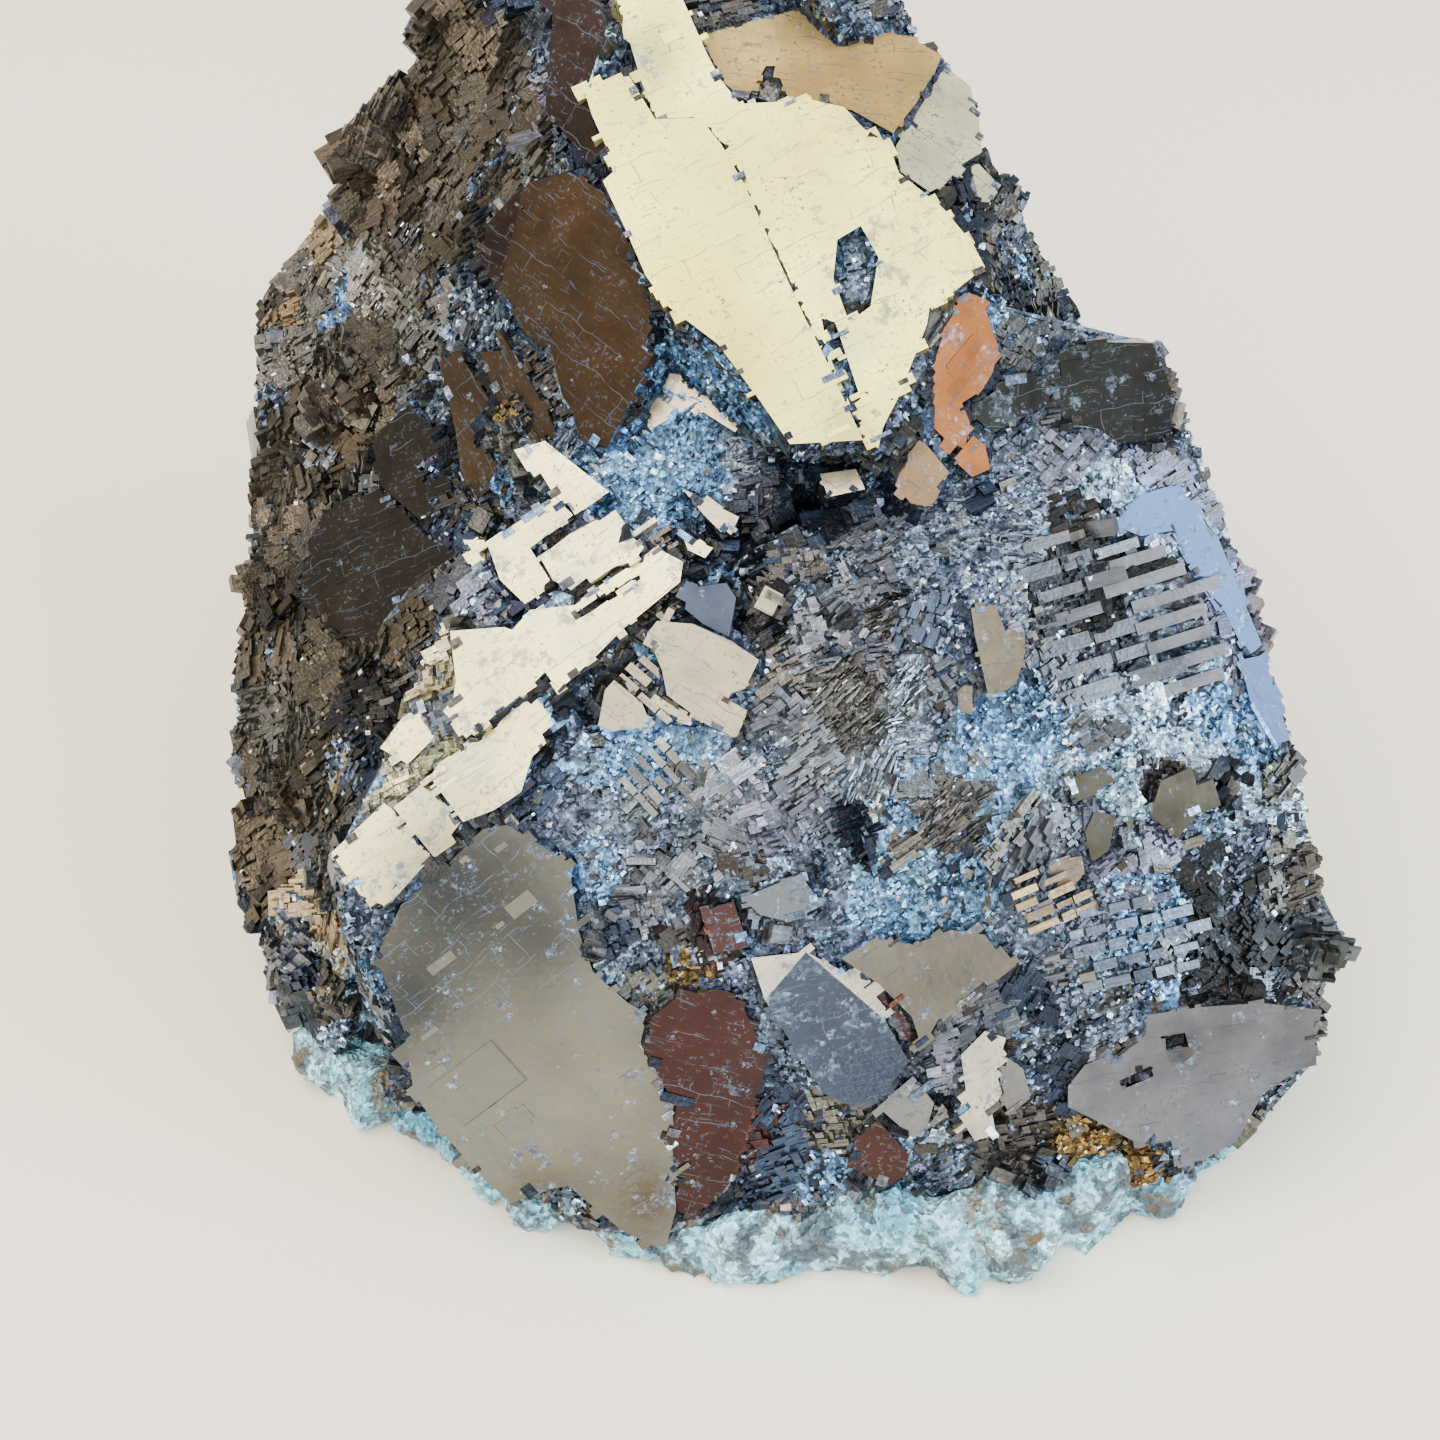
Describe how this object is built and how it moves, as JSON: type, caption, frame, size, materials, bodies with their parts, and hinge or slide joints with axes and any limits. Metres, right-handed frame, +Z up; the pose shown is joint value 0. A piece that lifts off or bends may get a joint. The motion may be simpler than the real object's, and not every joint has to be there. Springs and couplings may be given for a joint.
{
  "type": "galena specimen",
  "caption": "Broken lump of massive galena with stepped cube-cleavage faces, standing on a thin flat-bottomed crust of pale quartz matrix.",
  "frame": {"origin": "on the flat underside, below the middle of the specimen's best side", "axes": "+Z up, the stepped cleavage face that is its best side looks towards -Y and up, +X is to its right"},
  "size_m": [0.0931, 0.0935, 0.0775],
  "materials": {
    "galena": "lead-grey metallic, bright mirror cleavage faces between granular broken ones",
    "quartz": "pale, rough, sugary crust"
  },
  "bodies": {
    "root": {"galena": "galena", "quartz_matrix": "quartz"}
  },
  "joints": []
}
